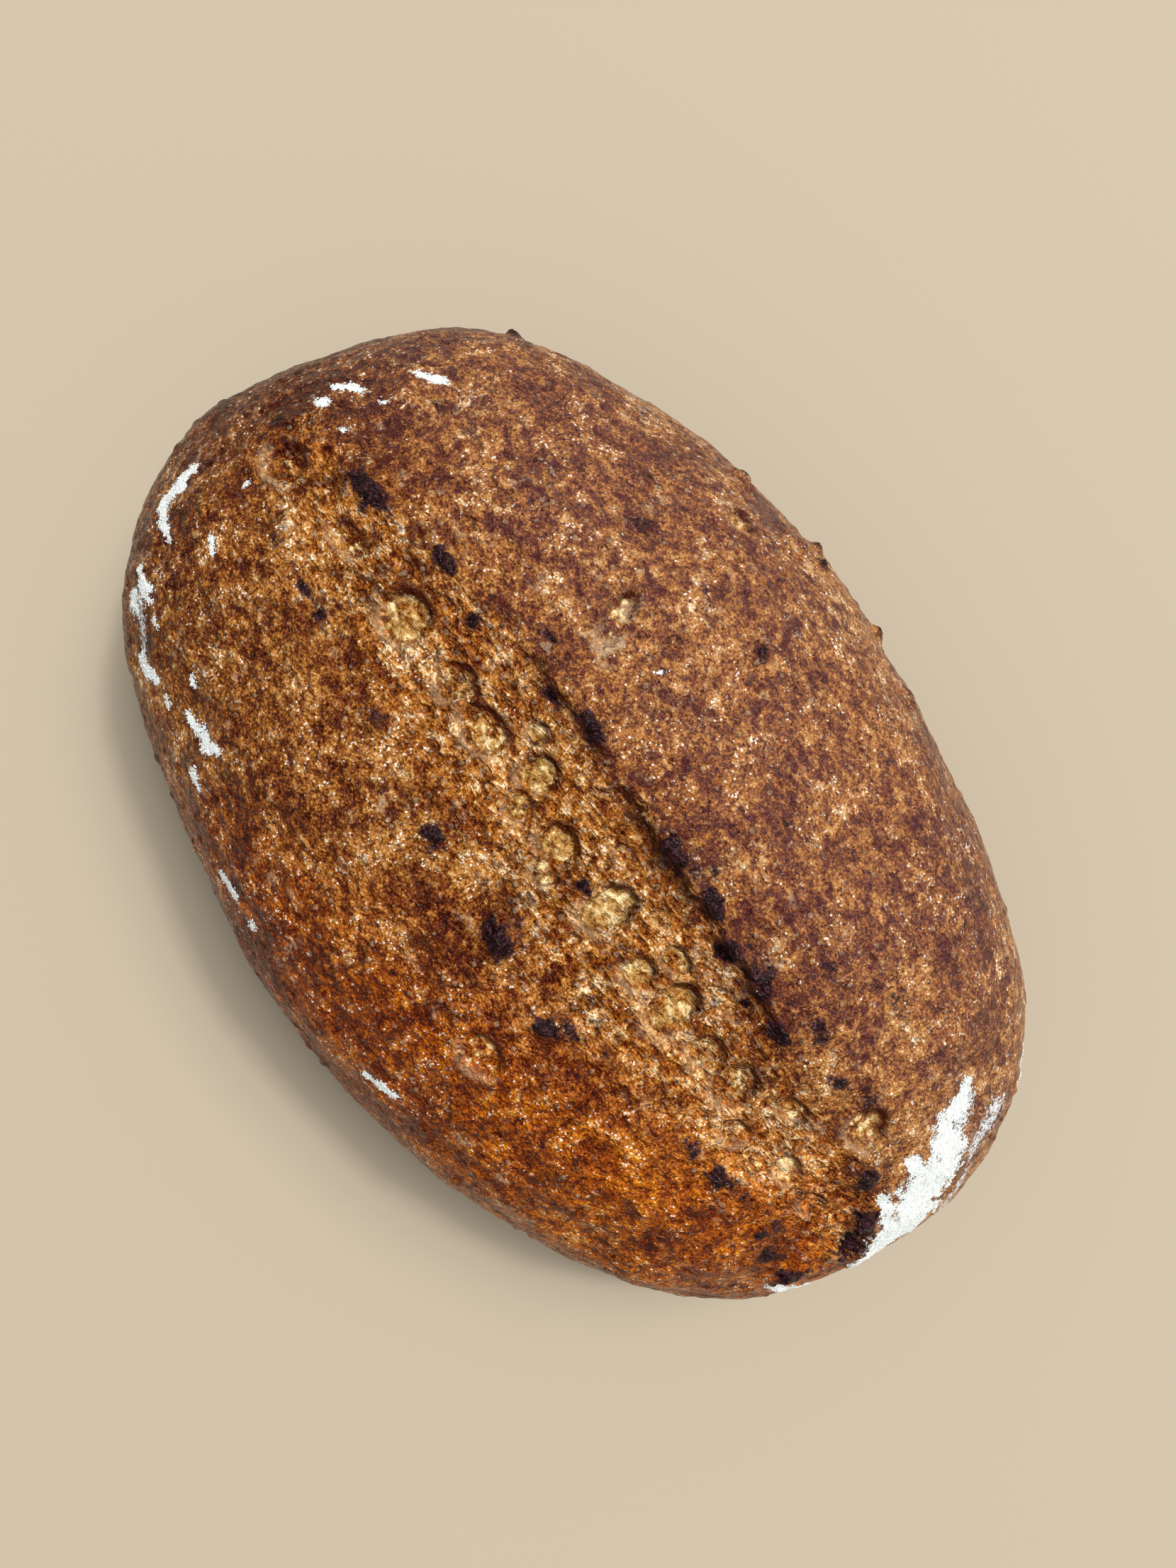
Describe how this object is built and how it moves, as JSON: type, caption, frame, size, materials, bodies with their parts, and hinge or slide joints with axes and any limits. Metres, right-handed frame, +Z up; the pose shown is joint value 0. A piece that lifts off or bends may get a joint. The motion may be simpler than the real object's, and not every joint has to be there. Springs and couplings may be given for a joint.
{
  "type": "oval crusty hearth loaf",
  "caption": "Uncut oval hearth loaf with a brown crust, one long score with a low ear, burst blisters, charred knobs and streaks of flour; rests on its flat base.",
  "frame": {"origin": "on the flat base, under the middle of the loaf's box", "axes": "+Z up through the crown; +X along the loaf to its floury end; +Y towards the side of the score that lifted into an ear"},
  "size_m": [0.2346, 0.1511, 0.0835],
  "materials": {
    "crust": "baked bread crust, amber brown with darker bran specks and a thin gloss",
    "flour": "dry white rye flour, powdery"
  },
  "bodies": {
    "root": {"loaf": "crust"}
  },
  "joints": []
}
